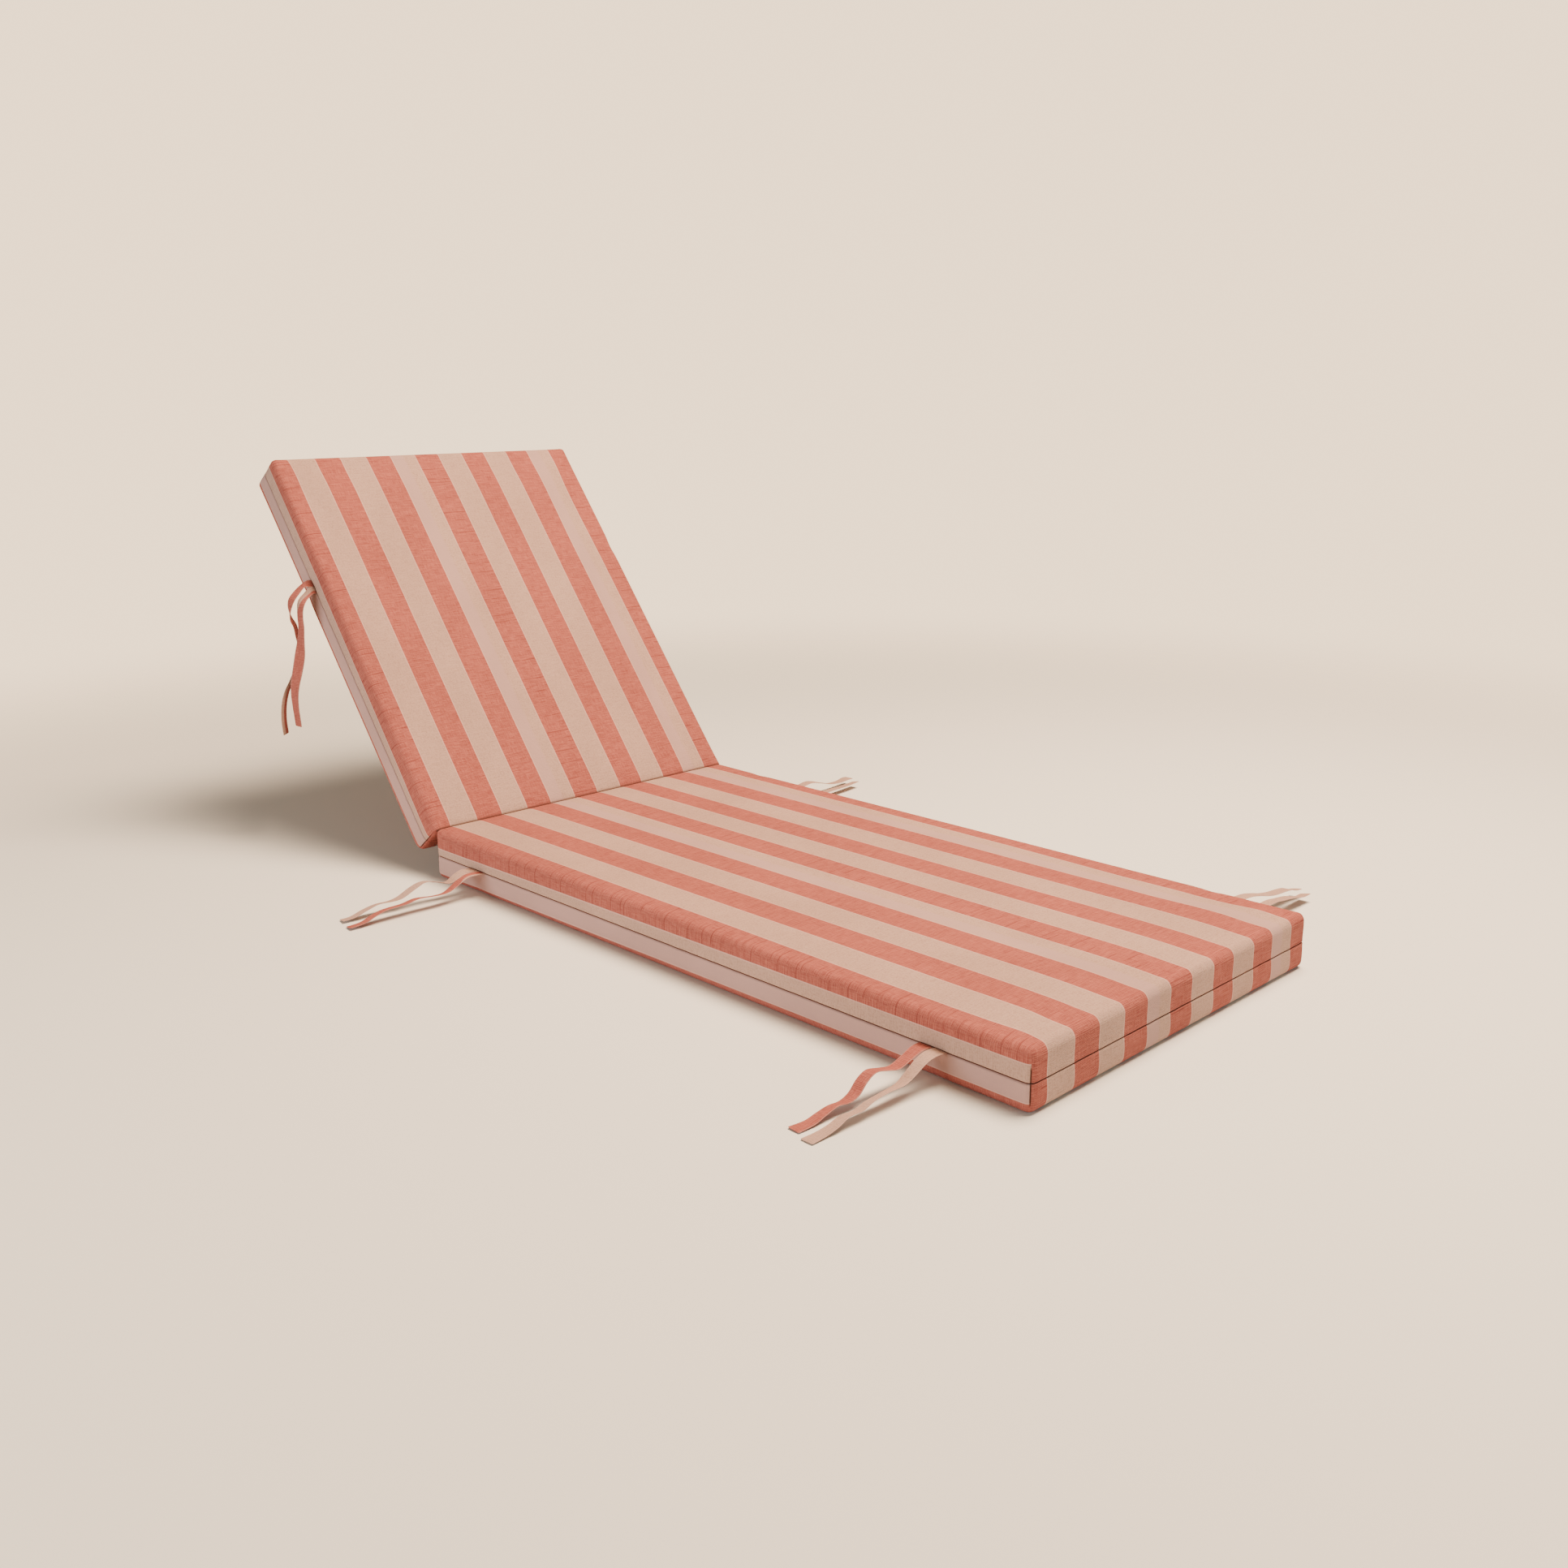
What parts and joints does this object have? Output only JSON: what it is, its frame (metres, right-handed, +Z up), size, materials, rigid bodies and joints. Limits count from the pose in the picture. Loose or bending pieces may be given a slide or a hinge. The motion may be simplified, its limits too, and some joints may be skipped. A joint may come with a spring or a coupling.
{
  "type": "sun lounger cushion",
  "caption": "Striped sun lounger cushion with a flat seat section and a raised back section that meet along a fold, and paired cloth ties along both long sides.",
  "frame": {"origin": "centre of the seat section's flat underside, on the surface that the cushion lies on", "axes": "+X from the fold towards the foot end, +Z up, +Y to the left of somebody who sits on the seat and looks at the foot end"},
  "size_m": [1.6451, 1.1036, 0.6317],
  "materials": {
    "seat_cover": "woven coral and beige stripes",
    "back_cover": "woven coral and beige stripes",
    "tie_coral": "woven coral",
    "tie_beige": "woven beige"
  },
  "bodies": {
    "root": {"seat_cushion": "seat_cover", "back_cushion": "back_cover", "tie_foot_right_a": "tie_coral", "tie_foot_right_b": "tie_beige", "tie_head_right_a": "tie_beige", "tie_head_right_b": "tie_coral", "tie_foot_left_a": "tie_beige", "tie_foot_left_b": "tie_beige", "tie_head_left_a": "tie_beige", "tie_head_left_b": "tie_beige", "tie_back_right_a": "tie_coral", "tie_back_right_b": "tie_coral", "tie_back_left_a": "tie_coral", "tie_back_left_b": "tie_coral"}
  },
  "joints": []
}
